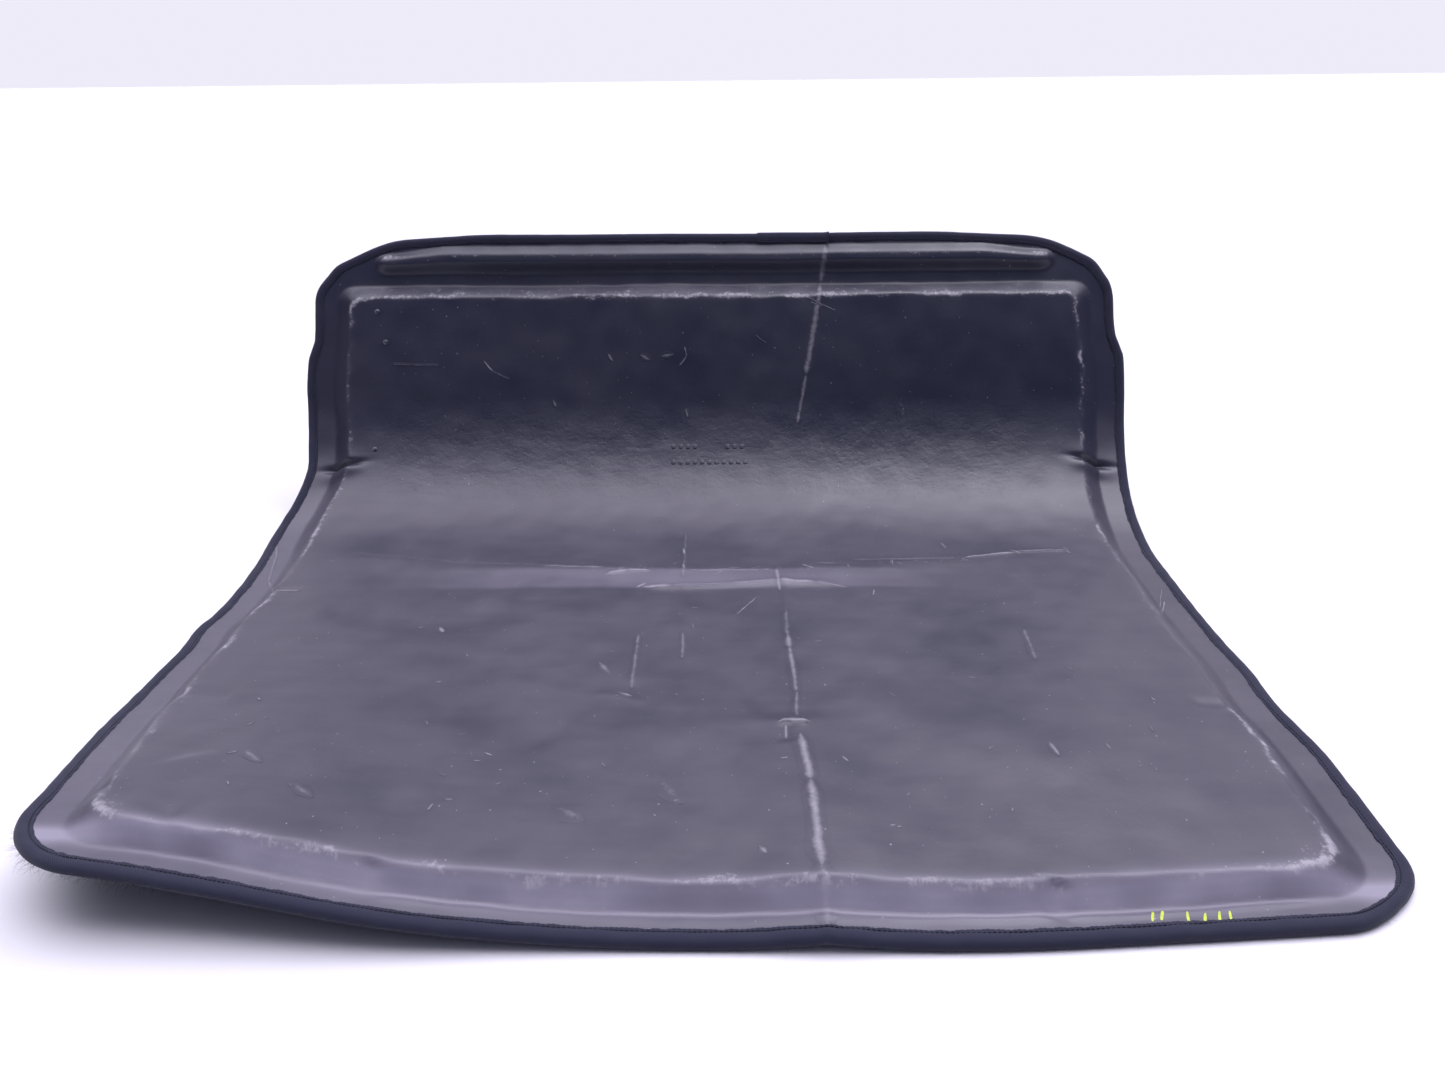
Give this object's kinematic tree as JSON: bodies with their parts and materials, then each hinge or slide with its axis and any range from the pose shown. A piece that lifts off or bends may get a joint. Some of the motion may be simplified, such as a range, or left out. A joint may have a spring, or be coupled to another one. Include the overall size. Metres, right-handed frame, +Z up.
{
  "type": "cargo area liner",
  "caption": "Moulded carpet cargo-floor liner with a heavy rubber backing and a taped edge, lying tray side down with its rear part folded up; it unfolds flat or folds over for storage.",
  "frame": {"origin": "on the surface the liner lies on, under the middle of its bounding box", "axes": "+X across the liner, its longest extent; +Y from the front edge towards the folded-up rear; +Z up"},
  "size_m": [1.1, 0.9466, 0.3541],
  "materials": {
    "rubber_backing": "fine grained, slightly shiny, scuffed on the raised edges",
    "carpet": "short needle-felt pile",
    "edge_tape": "woven tape, matt",
    "thread": "twisted sewing thread"
  },
  "bodies": {
    "floor": {"floor_backing": "rubber_backing", "floor_carpet": "carpet", "floor_binding": "edge_tape", "floor_stitches": "thread"},
    "bend": {"bend_backing": "rubber_backing", "bend_carpet": "carpet", "bend_binding_left": "edge_tape", "bend_binding_right": "edge_tape", "bend_stitches": "thread"},
    "rear": {"rear_backing": "rubber_backing", "rear_carpet": "carpet", "rear_binding": "edge_tape", "rear_stitches": "thread", "binding_tail": "edge_tape"}
  },
  "joints": [
    {"name": "rear_fold_lower", "type": "hinge", "parent": "floor", "child": "bend", "pos_m": [0, 0.21285, 0.01372], "axis": [1, 0, 0], "range_deg": [-32, 58], "deforming": ["bend_backing", "bend_carpet", "bend_binding_left", "bend_binding_right", "bend_stitches"]},
    {"name": "rear_fold_upper", "type": "hinge", "parent": "bend", "child": "rear", "pos_m": [0, 0.33019, 0.08705], "axis": [1, 0, 0], "range_deg": [-32, 58], "deforming": ["bend_backing", "bend_carpet", "bend_binding_left", "bend_binding_right", "bend_stitches"]}
  ],
  "couplings": [
    {"joint": "rear_fold_upper", "follows": "rear_fold_lower", "ratio": 1}
  ]
}
